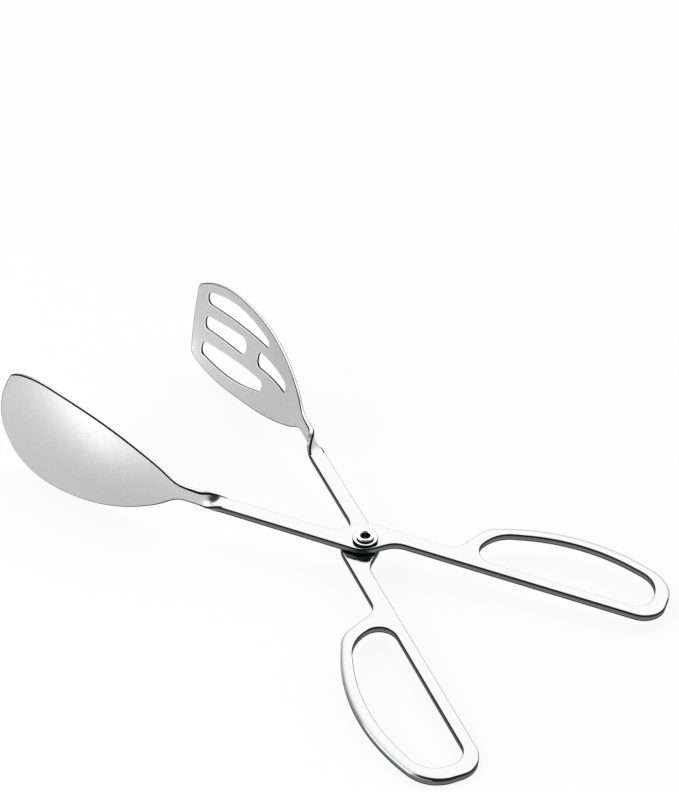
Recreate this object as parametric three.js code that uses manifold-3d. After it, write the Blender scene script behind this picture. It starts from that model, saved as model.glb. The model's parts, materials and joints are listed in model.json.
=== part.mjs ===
// Scissor serving tongs: two stamped steel arms cross at a tubular rivet.
// One arm ends in a spoon bowl, the other in a slotted bowl, and both have a finger loop behind.
// Each neck is twisted by about a right angle, so the bowls stand upright and face each other.
// Millimetres, +Z up. The tongs lie on the table, open as in use, with the bowls towards +X.
import * as THREE from "three";
import { mergeVertices } from "three/addons/utils/BufferGeometryUtils.js";
import Module from "manifold-3d";

const wasm = await Module();
wasm.setup();

// Sheet and pose
const sheet = 2.7;
const arm_gap = 0.3;
const seat_gap = 0.3;
const edge_round_share = 0.2;
const edge_round = edge_round_share * sheet;
const open_half_angle = THREE.MathUtils.degToRad(22);
const steepest_lie = THREE.MathUtils.degToRad(30);
const cut_overrun = 3;

// Flat part of an arm: u runs from the pivot to the handle end, v to the outer side of the loop
const arm_width = 6;
const front_offset = 2.9;
const rear_offset = 6.1;
const boss_inner_reach = 7.4;
const boss_outer_reach = 12.8;
const boss_inner_round = 9;
const boss_outer_round = 11;
const crank_fillet = 8;

// Finger loop
const loop_start = 31.7;
const loop_end = 106.9;
const loop_bulge = 32.9;
const loop_bulge_centre = 71.5;
const loop_bulge_radius = 68;
const loop_bulge_slope = THREE.MathUtils.degToRad(23.9);
const loop_flank_slope = THREE.MathUtils.degToRad(20.6);
const loop_flank_fillet = 6;
const loop_shoulder_round = 10;
const loop_outer_corner = 13;
const loop_inner_corner = 8.5;
const bar_width = 4;
const bulge_rim = 4.3;
const end_rim = 5;
const flank_rim = 4.8;
const hole_bulge_radius = 66;
const hole_bulge_slope = THREE.MathUtils.degToRad(17);
const hole_start_corner = 4.6;
const hole_bar_corner = 6;
const hole_outer_corner = 10;
const hole_shoulder_round = 7.5;

// Neck
const twist_start = 55;
const twist_end = 66;
const neck_overlap = 2;
const thinning_start = 57;
const thinning_end = 80;

// Bowls: cut and pressed alike, and set so that the lower edges of both lie level
const head_start = 71;
const head_length = 91.3;
const head_width = 44.4;
const head_sheet = 1.3;
const head_offset = 3.6;
const head_drop = 19.75;
const head_crown = 3.1;
const head_bend_start = 77;
const head_bend_radius = 212;
const full_dish = 4;
const tip_dish = 2.3;
const full_dish_share = 0.45;
const spoon_lean = THREE.MathUtils.degToRad(-8);
const slotted_lean = THREE.MathUtils.degToRad(13);
// Along the bowl, as shares of its length, and the half width there, as shares of the full one
const outline_shares = [
  [0, 0.135],
  [0.035, 0.155],
  [0.07, 0.22],
  [0.12, 0.355],
  [0.18, 0.485],
  [0.26, 0.63],
  [0.345, 0.755],
  [0.44, 0.86],
  [0.55, 0.94],
  [0.66, 0.985],
  [0.75, 1],
  [0.83, 0.975],
  [0.9, 0.915],
  [0.95, 0.84],
  [0.985, 0.765],
  [1, 0.7],
];
// Drain slots: corners along the length, across the half width, and their radii across it
const side_slot_shares = [
  [0.482, 0.356, 0.115],
  [0.945, 0.405, 0.1],
  [0.945, 0.65, 0.135],
  [0.734, 0.865, 2.7],
  [0.48, 0.55, 0.09],
];
const tip_slot_shares = [
  [0.653, -0.19, 0.165],
  [0.952, -0.135, 0.11],
  [0.952, 0.135, 0.11],
  [0.653, 0.19, 0.165],
];
const neck_slot_shares = [
  [0.287, -0.105, 0.075],
  [0.563, -0.165, 0.12],
  [0.563, 0.165, 0.12],
  [0.287, 0.105, 0.075],
];

// Pivot
const rivet_shank_radius = 2.6;
const rivet_bore_radius = 1.8;
const rivet_bore_floor = -2.4;
const rivet_head_radius = 4.7;
const rivet_head_height = 1.4;
const rivet_head_edge = 0.5;
const rolled_rim_radius = 3.2;
const rolled_rim_height = 0.8;
const washer_radius = 4.6;
const washer_height = 0.8;
const washer_edge = 0.2;

// Facets
const arc_steps = 5;
const round_steps = 40;
const edge_steps = 2;
const twist_rows = 12;
const bowl_rows = 24;
const bowl_columns = 8;
const rim_steps = 6;
// A search by halving ends when its limits are this close
const search_limit = Number.EPSILON * 4;

// Heights in the joint's own frame, with the middle of the gap between the arms at zero
const upper_arm_bottom = arm_gap / 2;
const upper_arm_top = upper_arm_bottom + sheet;
const lower_arm_bottom = -upper_arm_top;
const washer_bottom = upper_arm_top + seat_gap;
const washer_top = washer_bottom + washer_height;
const bore_radius = rivet_shank_radius + seat_gap;
const spoon = { side: 1, bottom: upper_arm_bottom, lean: spoon_lean };
const slotted = { side: -1, bottom: lower_arm_bottom, lean: slotted_lean };

// A closed geometry as a solid
function solidOf(geometry) {
  const bare = geometry.clone();
  bare.deleteAttribute("normal");
  bare.deleteAttribute("uv");
  const merged = mergeVertices(bare);
  const vertProperties = new Float32Array(merged.attributes.position.array);
  const triVerts = new Uint32Array(merged.index.array);
  return new wasm.Manifold(new wasm.Mesh({ numProp: 3, vertProperties, triVerts }));
}

function geometryOf(solid) {
  const mesh = solid.getMesh();
  const geometry = new THREE.BufferGeometry();
  geometry.setAttribute("position", new THREE.BufferAttribute(mesh.vertProperties, 3));
  geometry.setIndex(new THREE.BufferAttribute(mesh.triVerts, 1));
  geometry.computeVertexNormals();
  return geometry;
}

// Turns every triangle round, for a shape made on the other hand
function turnedInsideOut(geometry) {
  const flipped = geometry.index ? geometry : mergeVertices(geometry);
  const index = flipped.index.array;
  for (let i = 0; i < index.length; i += 3) {
    const second = index[i + 1];
    index[i + 1] = index[i + 2];
    index[i + 2] = second;
  }
  return flipped;
}

// Draws a closed outline through corners { x, y, round } with a tangent arc at each rounded one
function roundedOutline(path, corners) {
  corners.forEach((corner, i) => {
    const before = corners[(i + corners.length - 1) % corners.length];
    const after = corners[(i + 1) % corners.length];
    const here = new THREE.Vector2(corner.x, corner.y);
    const back = new THREE.Vector2(before.x, before.y).sub(here).normalize();
    const ahead = new THREE.Vector2(after.x, after.y).sub(here).normalize();
    const half_angle = Math.acos(THREE.MathUtils.clamp(back.dot(ahead), -1, 1)) / 2;
    const reach = corner.round / Math.tan(half_angle);
    const from = here.clone().addScaledVector(back, reach);
    if (i === 0) path.moveTo(from.x, from.y);
    else path.lineTo(from.x, from.y);
    if (corner.round > 0) {
      const middle = back.clone().add(ahead).normalize();
      const centre = here.clone().addScaledVector(middle, corner.round / Math.sin(half_angle));
      const to = here.clone().addScaledVector(ahead, reach);
      const start = from.clone().sub(centre).angle();
      const end = to.clone().sub(centre).angle();
      path.absarc(centre.x, centre.y, corner.round, start, end, back.cross(ahead) > 0);
    }
  });
  path.closePath();
  return path;
}

// Where the line through a at one angle meets the line through b at another
function meeting(a, angle_a, b, angle_b) {
  const run_a = new THREE.Vector2(Math.cos(angle_a), Math.sin(angle_a));
  const run_b = new THREE.Vector2(Math.cos(angle_b), Math.sin(angle_b));
  const gap = new THREE.Vector2(b.x - a.x, b.y - a.y);
  const distance = gap.cross(run_b) / run_a.cross(run_b);
  return { x: a.x + run_a.x * distance, y: a.y + run_a.y * distance };
}

// The corner whose tangent arc makes the outer side of a loop, given the arc's highest point
function bulgeApex(centre, height, radius, slope) {
  return { x: centre, y: height + radius / Math.cos(slope) - radius };
}

// Corners of the flat part of an arm, in u and v
function armCorners() {
  const front_edge = -front_offset - arm_width / 2;
  const front_inner_edge = -front_offset + arm_width / 2;
  const bar_edge = rear_offset - arm_width / 2;
  const rear_edge = rear_offset + arm_width / 2;
  const flank = Math.PI / 2 - loop_flank_slope;
  const flank_foot = { x: loop_start, y: rear_edge };
  const apex = bulgeApex(loop_bulge_centre, loop_bulge, loop_bulge_radius, loop_bulge_slope);
  const shoulder = meeting(flank_foot, flank, apex, loop_bulge_slope);
  const outer_end = meeting({ x: loop_end, y: bar_edge }, Math.PI / 2, apex, -loop_bulge_slope);
  return [
    { x: -twist_start, y: front_edge, round: 0 },
    { x: boss_inner_reach + front_edge, y: front_edge, round: boss_inner_round },
    { x: boss_inner_reach + bar_edge, y: bar_edge, round: boss_inner_round },
    { x: loop_end, y: bar_edge, round: loop_inner_corner },
    { ...outer_end, round: loop_outer_corner },
    { ...apex, round: loop_bulge_radius },
    { ...shoulder, round: loop_shoulder_round },
    { ...flank_foot, round: loop_flank_fillet },
    { x: rear_edge - boss_outer_reach, y: rear_edge, round: boss_outer_round },
    { x: front_inner_edge - boss_outer_reach, y: front_inner_edge, round: crank_fillet },
    { x: -twist_start, y: front_inner_edge, round: 0 },
  ];
}

// Corners of the finger hole, in u and v
function holeCorners() {
  const bar_edge = rear_offset - arm_width / 2 + bar_width;
  const rear_edge = rear_offset + arm_width / 2;
  const flank = Math.PI / 2 - loop_flank_slope;
  const flank_point = {
    x: loop_start + flank_rim * Math.cos(loop_flank_slope),
    y: rear_edge - flank_rim * Math.sin(loop_flank_slope),
  };
  const end = { x: loop_end - end_rim, y: bar_edge };
  const apex = bulgeApex(
    loop_bulge_centre,
    loop_bulge - bulge_rim,
    hole_bulge_radius,
    hole_bulge_slope,
  );
  const start = meeting(flank_point, flank, end, 0);
  const shoulder = meeting(flank_point, flank, apex, hole_bulge_slope);
  const outer_end = meeting(end, Math.PI / 2, apex, -hole_bulge_slope);
  return [
    { ...start, round: hole_start_corner },
    { ...end, round: hole_bar_corner },
    { ...outer_end, round: hole_outer_corner },
    { ...apex, round: hole_bulge_radius },
    { ...shoulder, round: hole_shoulder_round },
  ];
}

// From u and v to x towards the bowl and y: side is 1 for the spoon arm and -1 for the slotted one
function onArm(corners, side) {
  const placed = corners.map(({ x, y, round }) => ({ x: -x, y: -y * side, round }));
  return side > 0 ? placed : placed.reverse();
}

// The stamped flat part: cranked arm, pivot boss with its bore, and finger loop
function flatArm({ side, bottom }) {
  const outline = roundedOutline(new THREE.Shape(), onArm(armCorners(), side));
  outline.holes.push(roundedOutline(new THREE.Path(), onArm(holeCorners(), side)));
  const bore = new THREE.Path();
  const quarters = [0, 1, 2, 3].map((quarter) => (quarter * Math.PI) / 2);
  quarters.forEach((angle) => bore.absarc(0, 0, bore_radius, angle, angle + Math.PI / 2));
  outline.holes.push(bore);
  const geometry = new THREE.ExtrudeGeometry(outline, {
    depth: sheet - 2 * edge_round,
    curveSegments: arc_steps,
    bevelThickness: edge_round,
    bevelSize: edge_round,
    bevelOffset: -edge_round,
    bevelSegments: edge_steps,
  });
  return geometry.translate(0, 0, bottom + edge_round);
}

const eased = (value, from, to) => THREE.MathUtils.smoothstep(value, from, to);
const blend = (from, to, share) => from + (to - from) * share;

// Centre line of the neck and bowl at a distance s from the pivot, with the local directions
function frameAt(s, { side, bottom, lean }) {
  const turn = Math.max(s - head_bend_start, 0) / head_bend_radius;
  const swing = eased(s, twist_start, twist_end);
  const twist = swing * (Math.PI / 2 + lean);
  const head_middle = (head_width / 2) * Math.cos(lean) - head_drop;
  const outward = blend(front_offset, head_offset, swing);
  const origin = new THREE.Vector3(
    Math.min(s, head_bend_start) + head_bend_radius * Math.sin(turn),
    outward - head_bend_radius * (1 - Math.cos(turn)),
    blend(bottom + sheet / 2, head_middle, swing),
  );
  const sideways = new THREE.Vector3(Math.sin(turn), Math.cos(turn), 0);
  const up = new THREE.Vector3(0, 0, 1);
  const across = sideways.clone().multiplyScalar(Math.cos(twist));
  across.addScaledVector(up, -Math.sin(twist));
  const lift = sideways.clone().multiplyScalar(Math.sin(twist));
  lift.addScaledVector(up, Math.cos(twist));
  for (const vector of [origin, across, lift]) vector.y *= side;
  return { origin, across, lift };
}

// How far the middle of a bowl is pressed outwards at a share of its length
function dishAt(share) {
  const rise = eased(share, 0, full_dish_share);
  const fall = eased(share, full_dish_share, 1);
  return rise * blend(full_dish, tip_dish, fall);
}

// The last value between two limits at which a test still holds
function lastWhere(low, high, holds) {
  while (high - low > search_limit) {
    const middle = (low + high) / 2;
    if (holds(middle)) low = middle;
    else high = middle;
  }
  return low;
}

const outline_curve = new THREE.SplineCurve(
  outline_shares.map(([along, wide]) => new THREE.Vector2(along, wide)),
);

// Half width of neck and bowl at a distance s from the pivot
function halfWidthAt(s) {
  const share = (s - head_start) / head_length;
  if (share < 0) {
    const neck = (outline_shares[0][1] * head_width) / 2;
    return blend(arm_width / 2, neck, eased(s, twist_start, head_start));
  }
  const place = lastWhere(0, 1, (middle) => outline_curve.getPoint(middle).x < share);
  return (outline_curve.getPoint(place).y * head_width) / 2;
}

// A point of the pressed sheet, out by d from its middle surface
function sheetPoint(s, b, d, arm) {
  const { origin, across, lift } = frameAt(s, arm);
  const share = (s - head_start) / head_length;
  const middle = 1 - (b / halfWidthAt(Math.min(s, head_start + head_length))) ** 2;
  const pressed = share > 0 ? dishAt(share) * middle : 0;
  return origin.addScaledVector(across, b).addScaledVector(lift, pressed + d);
}

// Distances from the pivot of the sections through neck and bowl
function sectionPlaces() {
  const places = [twist_start - neck_overlap];
  for (let i = 0; i <= twist_rows; i += 1) places.push(blend(twist_start, twist_end, i / twist_rows));
  const shares = outline_curve.getSpacedPoints(bowl_rows);
  return places.concat(shares.map((point) => head_start + point.x * head_length));
}

// One section as pairs { b, d } from edge to edge: d is the half thickness there
function sectionProfile(half_width, thickness) {
  const round = edge_round_share * thickness;
  const corner = [];
  for (let i = 0; i < edge_steps; i += 1) {
    const angle = (i / edge_steps) * (Math.PI / 2);
    const b = half_width - round + round * Math.cos(angle);
    corner.push({ b, d: thickness / 2 - round + round * Math.sin(angle) });
  }
  const profile = corner.map(({ b, d }) => ({ b: -b, d }));
  for (let j = 0; j <= bowl_columns; j += 1) {
    const b = blend(-1, 1, j / bowl_columns) * (half_width - round);
    profile.push({ b, d: thickness / 2 });
  }
  return profile.concat(corner.reverse());
}

// Joins the sections, each an upper and a lower chain of points, into one closed skin
function skinOf(sections, side) {
  const count = sections[0].length;
  const positions = sections.flat().flatMap((point) => point.toArray());
  const index = [];
  const quad = (a, b, c, d) => index.push(a, b, c, a, c, d);
  const half = count / 2;
  for (let row = 0; row + 1 < sections.length; row += 1) {
    for (let j = 0; j < count; j += 1) {
      const next = (j + 1) % count;
      quad(row * count + j, (row + 1) * count + j, (row + 1) * count + next, row * count + next);
    }
  }
  const last = (sections.length - 1) * count;
  for (let j = 0; j + 1 < half; j += 1) {
    const below = count - 1 - j;
    quad(j, j + 1, below - 1, below);
    quad(last + below, last + below - 1, last + j + 1, last + j);
  }
  const geometry = new THREE.BufferGeometry();
  geometry.setAttribute("position", new THREE.Float32BufferAttribute(positions, 3));
  geometry.setIndex(index);
  return side > 0 ? geometry : turnedInsideOut(geometry);
}

// The twisted neck and the pressed bowl, as one lofted sheet
function neckAndBowl(arm) {
  const sections = sectionPlaces().map((s) => {
    const share = (s - head_start) / head_length;
    const half_width = halfWidthAt(s);
    const thickness = blend(sheet, head_sheet, eased(s, thinning_start, thinning_end));
    const crown = head_crown * eased(share, full_dish_share, 1);
    const profile = sectionProfile(half_width, thickness);
    const pointAt = ({ b, d }, sign) => {
      const ahead = s + crown * (1 - (b / half_width) ** 2);
      return sheetPoint(ahead, b, sign * d, arm);
    };
    const upper = profile.map((pair) => pointAt(pair, 1));
    const lower = profile.map((pair) => pointAt(pair, -1)).reverse();
    return upper.concat(lower);
  });
  return skinOf(sections, arm.side);
}

// A cutter for one drain slot, bent and pressed like the bowl that it goes through
function slotCutter(shares, mirrored, arm) {
  const half = head_width / 2;
  const corners = shares.map(([along, across, round]) => ({
    x: head_start + along * head_length,
    y: mirrored * across * half,
    round: round * half,
  }));
  const outline = roundedOutline(new THREE.Shape(), corners);
  const geometry = new THREE.ExtrudeGeometry(outline, {
    depth: 2 * cut_overrun,
    curveSegments: arc_steps,
    bevelEnabled: false,
  });
  const position = geometry.attributes.position;
  for (let i = 0; i < position.count; i += 1) {
    const d = position.getZ(i) - cut_overrun;
    const point = sheetPoint(position.getX(i), position.getY(i), d, arm);
    position.setXYZ(i, ...point.toArray());
  }
  geometry.deleteAttribute("normal");
  geometry.deleteAttribute("uv");
  return arm.side > 0 ? geometry : turnedInsideOut(geometry);
}

// One arm in a single piece, from finger loop to bowl
function wholeArm(arm) {
  return solidOf(flatArm(arm)).add(solidOf(neckAndBowl(arm)));
}

function slottedArm() {
  const slots = [
    [side_slot_shares, 1],
    [side_slot_shares, -1],
    [tip_slot_shares, 1],
    [neck_slot_shares, 1],
  ];
  const cutters = slots.map(([shares, mirrored]) => solidOf(slotCutter(shares, mirrored, slotted)));
  return cutters.reduce((solid, cutter) => solid.subtract(cutter), wholeArm(slotted));
}

// The tubular rivet: formed head below, shank through both arms, and end rolled over the washer
function pivotRivet() {
  const head_top = lower_arm_bottom - seat_gap;
  const head_bottom = head_top - rivet_head_height;
  const rim_bottom = washer_top + seat_gap;
  const rim_middle = rim_bottom + rolled_rim_height / 2;
  const rim_centre = (rolled_rim_radius + rivet_bore_radius) / 2;
  const rim_half_width = (rolled_rim_radius - rivet_bore_radius) / 2;
  const profile = [
    [0, head_bottom],
    [rivet_head_radius - rivet_head_edge, head_bottom],
    [rivet_head_radius, head_bottom + rivet_head_edge],
    [rivet_head_radius, head_top],
    [rivet_shank_radius, head_top],
    [rivet_shank_radius, rim_bottom],
    [rim_centre, rim_bottom],
  ];
  for (let i = 1; i < rim_steps; i += 1) {
    const angle = -Math.PI / 2 + (Math.PI * 3 * i) / (2 * rim_steps);
    const out = rim_centre + rim_half_width * Math.cos(angle);
    profile.push([out, rim_middle + (rolled_rim_height / 2) * Math.sin(angle)]);
  }
  profile.push([rivet_bore_radius, rim_middle]);
  profile.push([rivet_bore_radius, rivet_bore_floor]);
  profile.push([0, rivet_bore_floor]);
  return revolved(profile);
}

function topWasher() {
  return revolved([
    [bore_radius, washer_bottom],
    [washer_radius, washer_bottom],
    [washer_radius, washer_top - washer_edge],
    [washer_radius - washer_edge, washer_top],
    [bore_radius, washer_top],
    [bore_radius, washer_bottom],
  ]);
}

// A profile of [radius, height] turned about the pivot axis
function revolved(profile) {
  const points = profile.map(([radius, height]) => new THREE.Vector2(radius, height));
  return new THREE.LatheGeometry(points, round_steps).rotateX(Math.PI / 2);
}

function steel(name, color, roughness) {
  return new THREE.MeshStandardMaterial({ name, color, roughness, metalness: 1 });
}

function piece(name, geometry, material) {
  const mesh = new THREE.Mesh(geometry, material);
  mesh.name = name;
  return mesh;
}

// How far the bowls' end is raised when bowls and handle end both touch the table
function lieAngle(group) {
  const points = [];
  group.updateMatrixWorld(true);
  group.traverse((node) => {
    if (!node.isMesh) return;
    const position = node.geometry.attributes.position;
    for (let i = 0; i < position.count; i += 1) {
      points.push(new THREE.Vector3().fromBufferAttribute(position, i).applyMatrix4(node.matrixWorld));
    }
  });
  const lowest = (angle, ahead) =>
    points.reduce((low, { x, z }) => {
      const height = x * Math.sin(angle) + z * Math.cos(angle);
      return x > 0 === ahead ? Math.min(low, height) : low;
    }, Infinity);
  return lastWhere(0, steepest_lie, (angle) => lowest(angle, true) < lowest(angle, false));
}

const spoon_side = new THREE.Group();
spoon_side.rotation.z = open_half_angle;
spoon_side.add(piece("spoon_arm", geometryOf(wholeArm(spoon)), steel("bright_steel", 0xd3d5d7, 0.28)));

const slotted_side = new THREE.Group();
slotted_side.rotation.z = -open_half_angle;
slotted_side.add(piece("slotted_arm", geometryOf(slottedArm()), steel("satin_steel", 0xcbcdd0, 0.32)));

const joint = new THREE.Group();
joint.add(spoon_side, slotted_side);
joint.add(piece("pivot_rivet", pivotRivet(), steel("rivet_steel", 0xdfe1e3, 0.22)));
joint.add(piece("top_washer", topWasher(), steel("washer_steel", 0xe2e3e5, 0.24)));

// The tongs as they lie: tipped until bowls and handle end touch, over the middle of their footprint
joint.rotation.y = -lieAngle(joint);
const footprint = new THREE.Box3().setFromObject(joint, true);
const centre = footprint.getCenter(new THREE.Vector3());
joint.position.set(-centre.x, -centre.y, -footprint.min.z);

const tongs = new THREE.Group();
tongs.name = "scissor_serving_tongs";
tongs.add(joint);

export default tongs;
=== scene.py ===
# %% [markdown]
# # Scissor serving tongs in stainless steel
# Two arms are stamped from flat sheet, twisted at the neck and pressed into bowls. They cross at a
# tubular rivet. This notebook follows the order of the workshop: it draws and cuts a flat blank,
# forms it with a press made of Geometry Nodes, and then turns the rivet and the washer. The floor,
# the light and the camera come last. All sizes are in millimetres unless a line says otherwise.

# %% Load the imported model
import json
import math
import bmesh
import bpy
import numpy as np
from mathutils import Matrix, Vector
from mathutils.geometry import delaunay_2d_cdt


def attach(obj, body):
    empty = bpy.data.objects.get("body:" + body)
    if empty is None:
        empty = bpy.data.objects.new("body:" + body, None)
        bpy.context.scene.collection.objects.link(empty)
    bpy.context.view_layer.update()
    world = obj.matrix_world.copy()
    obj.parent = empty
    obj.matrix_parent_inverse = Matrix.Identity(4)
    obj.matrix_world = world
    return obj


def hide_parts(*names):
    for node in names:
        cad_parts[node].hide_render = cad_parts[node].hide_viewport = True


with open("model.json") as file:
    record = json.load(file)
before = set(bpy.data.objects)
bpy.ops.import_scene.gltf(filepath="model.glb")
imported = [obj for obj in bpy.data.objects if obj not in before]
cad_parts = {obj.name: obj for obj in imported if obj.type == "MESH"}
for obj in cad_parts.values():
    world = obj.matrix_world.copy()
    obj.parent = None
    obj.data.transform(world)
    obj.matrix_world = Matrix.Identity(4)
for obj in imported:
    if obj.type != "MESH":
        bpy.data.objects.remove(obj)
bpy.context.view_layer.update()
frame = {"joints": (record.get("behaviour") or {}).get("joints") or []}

mm = 0.001

# %% [markdown]
# ## The pivot frame
# The tongs lie on the table, tipped a little, because bowls and handle are not equally deep. They
# could be drawn tipped, but it is easier to draw them flat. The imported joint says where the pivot
# is and how its axis leans, so a matrix made from it carries everything drawn flat to its place.

# %% From the flat drawing to the table
hinge = frame["joints"][0]
pivot_axis = Vector(hinge["axis"]).normalized()
level = Vector((0, 1, 0))
forward = level.cross(pivot_axis)
pivot_frame = Matrix.Translation(hinge["pos_m"]) @ Matrix(
    [[forward[i], level[i], pivot_axis[i]] for i in range(3)]
).to_4x4()
print("Pivot leans", round(math.degrees(pivot_axis.angle(Vector((0, 0, 1)))), 2), "degrees")

# %% [markdown]
# ## The sheet
# Both arms come from one thickness of sheet, which the press thins towards the bowls. The arms lie
# on each other with a small running gap. They could be modelled in their final shape, but drawn
# flat their sizes are plain, as in a workshop drawing.

# %% Sheet, pose and neck
sheet = 2.7
arm_gap = 0.3
seat_gap = 0.3
rivet_shank_radius = 2.6
open_half_angle = math.radians(22)
arm_width = 6.0
front_offset = 2.9
twist_start = 55.0
twist_end = 66.0
thinning_start = 57.0
thinning_end = 80.0
head_start = 71.0
head_length = 91.3
head_width = 44.4
head_sheet = 1.3
head_offset = 3.6
head_drop = 19.75
head_crown = 3.1
head_bend_start = 77.0
head_bend_radius = 212.0
full_dish = 4.0
tip_dish = 2.3
full_dish_share = 0.45
spoon_lean = math.radians(-8)
slotted_lean = math.radians(13)
upper_middle = arm_gap / 2 + sheet / 2
lower_middle = -upper_middle
head_end = head_start + head_length
print("Sheet", sheet, "mm, pressed to", head_sheet, "mm, and a bowl ends", head_end, "mm out")

# %% [markdown]
# ## An outline with rounded corners
# A drawing of stamped work gives corners and the radius at each. Between two straight runs lies one
# arc that touches both. The outline could be traced, or drawn as a Bezier curve, but a formula for
# that arc is shorter than either, and exact.

# %% Tangent arcs at corners
arc_pitch = 0.5
straight_pitch = 2.0
fewest_arc_steps = 4


def unit(vector):
    return vector / np.linalg.norm(vector)


def arc_at(corner, before, after, radius):
    """Points of the arc that touches both runs that meet at a corner."""
    if not radius:
        return [corner]
    back = unit(before - corner)
    ahead = unit(after - corner)
    half_angle = math.acos(np.clip(back @ ahead, -1, 1)) / 2
    centre = corner + unit(back + ahead) * radius / math.sin(half_angle)
    start = corner + back * radius / math.tan(half_angle) - centre
    sweep = math.pi - 2 * half_angle
    hand = -1 if back[0] * ahead[1] - back[1] * ahead[0] > 0 else 1
    steps = max(fewest_arc_steps, math.ceil(radius * sweep / arc_pitch))
    angles = hand * sweep * np.linspace(0, 1, steps + 1)
    x = start[0] * np.cos(angles) - start[1] * np.sin(angles)
    y = start[0] * np.sin(angles) + start[1] * np.cos(angles)
    return list(centre + np.stack([x, y], axis=1))


def filled_in(points, closed):
    """Adds points on long runs, so that no step is longer than the pitch."""
    result = []
    ends = points[1:] + points[:1] if closed else points[1:]
    for here, there in zip(points, ends):
        steps = max(1, math.ceil(np.linalg.norm(there - here) / straight_pitch))
        result += [here + (there - here) * i / steps for i in range(steps)]
    return result if closed else result + [points[-1]]


def rounded(corners, closed=True):
    """An outline through corners (x, y, radius). The ends of an open one stay sharp."""
    places = [np.array(corner[:2], float) for corner in corners]
    points = []
    for i, corner in enumerate(corners):
        before = places[i - 1]
        after = places[(i + 1) % len(places)]
        points += arc_at(places[i], before, after, corner[2])
    return filled_in(points, closed)


print("A rounded triangle has", len(rounded([(0, 0, 2), (10, 0, 2), (0, 10, 2)])), "points")

# %% [markdown]
# ## The handle end of the blank
# Behind the pivot the arm steps sideways and carries a finger loop. The loop's inner side is a
# straight bar, and its outer side bulges. The sizes are given in u, from the pivot to the handle
# end, and v, to the outer side, so every number is one that a rule would show on the real arm.

# %% Sizes of arm and loop
rear_offset = 6.1
boss_inner_reach = 7.4
boss_outer_reach = 12.8
boss_inner_round = 9.0
boss_outer_round = 11.0
crank_fillet = 8.0
loop_start = 31.7
loop_end = 106.9
loop_bulge = 32.9
loop_bulge_centre = 71.5
loop_bulge_radius = 68.0
loop_bulge_slope = math.radians(23.9)
loop_flank_slope = math.radians(20.6)
loop_flank_fillet = 6.0
loop_shoulder_round = 10.0
loop_outer_corner = 13.0
loop_inner_corner = 8.5
bar_width = 4.0
bulge_rim = 4.3
end_rim = 5.0
flank_rim = 4.8
hole_bulge_radius = 66.0
hole_bulge_slope = math.radians(17)
hole_start_corner = 6.5
hole_bar_corner = 6.0
hole_outer_corner = 10.0
hole_shoulder_round = 13.0
front_edge = -front_offset - arm_width / 2
front_inner_edge = -front_offset + arm_width / 2
bar_edge = rear_offset - arm_width / 2
rear_edge = rear_offset + arm_width / 2
flank_angle = math.pi / 2 - loop_flank_slope
print("Finger loop", round(loop_end - loop_start, 1), "by", round(loop_bulge - bar_edge, 1), "mm")

# %% [markdown]
# ## Corners of the arm and of the finger hole
# The runs of the outline are easy to measure, but its corners are rounded away. So the corners are
# worked out, as the places where two runs would meet. The last function turns the drawing to the
# blank's own s, towards the bowl, and b, across the neck.


# %% Corners of arm and loop
def meeting(a, angle_a, b, angle_b):
    """Where the line through a at one angle meets the line through b at another."""
    first_row = [math.cos(angle_a), -math.cos(angle_b)]
    second_row = [math.sin(angle_a), -math.sin(angle_b)]
    distance = np.linalg.solve(np.array([first_row, second_row]), np.subtract(b, a))[0]
    return (a[0] + distance * math.cos(angle_a), a[1] + distance * math.sin(angle_a))


def bulge_apex(height, radius, slope):
    return (loop_bulge_centre, height + radius / math.cos(slope) - radius)


def arm_corners():
    foot = (loop_start, rear_edge)
    apex = bulge_apex(loop_bulge, loop_bulge_radius, loop_bulge_slope)
    shoulder = meeting(foot, flank_angle, apex, loop_bulge_slope)
    outer_end = meeting((loop_end, bar_edge), math.pi / 2, apex, -loop_bulge_slope)
    return [
        (-twist_start, front_edge, 0),
        (boss_inner_reach + front_edge, front_edge, boss_inner_round),
        (boss_inner_reach + bar_edge, bar_edge, boss_inner_round),
        (loop_end, bar_edge, loop_inner_corner),
        (*outer_end, loop_outer_corner),
        (*apex, loop_bulge_radius),
        (*shoulder, loop_shoulder_round),
        (*foot, loop_flank_fillet),
        (rear_edge - boss_outer_reach, rear_edge, boss_outer_round),
        (front_inner_edge - boss_outer_reach, front_inner_edge, crank_fillet),
        (-twist_start, front_inner_edge, 0),
    ]


def hole_corners():
    flank_point = (
        loop_start + flank_rim * math.cos(loop_flank_slope),
        rear_edge - flank_rim * math.sin(loop_flank_slope),
    )
    end = (loop_end - end_rim, bar_edge + bar_width)
    apex = bulge_apex(loop_bulge - bulge_rim, hole_bulge_radius, hole_bulge_slope)
    return [
        (*meeting(flank_point, flank_angle, end, 0), hole_start_corner),
        (*end, hole_bar_corner),
        (*meeting(end, math.pi / 2, apex, -hole_bulge_slope), hole_outer_corner),
        (*apex, hole_bulge_radius),
        (*meeting(flank_point, flank_angle, apex, hole_bulge_slope), hole_shoulder_round),
    ]


def to_blank(corners):
    return [(-u, -v - front_offset, radius) for u, v, radius in corners]


print("The arm has", len(arm_corners()), "corners and its hole has", len(hole_corners()))

# %% [markdown]
# ## The bowl end of the blank
# The neck swells into a bowl. Its half width is given at shares of its length, as a share of its
# full one, so one number would make the bowl longer or wider. A spline through the shares gives a
# smooth edge from few numbers. The tip is a shallow arc.

# %% Half width along neck and bowl
outline_shares = np.array(
    [
        [0, 0.135], [0.035, 0.155], [0.07, 0.22], [0.12, 0.355], [0.18, 0.485], [0.26, 0.63],
        [0.345, 0.755], [0.44, 0.86], [0.55, 0.94], [0.66, 0.985], [0.75, 1], [0.83, 0.975],
        [0.9, 0.915], [0.95, 0.84], [0.985, 0.765], [1, 0.7],
    ]
)
spline_steps = 40
outline_stride = 8
bowl_pitch = 1.0
neck_pitch = 0.5


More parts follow.
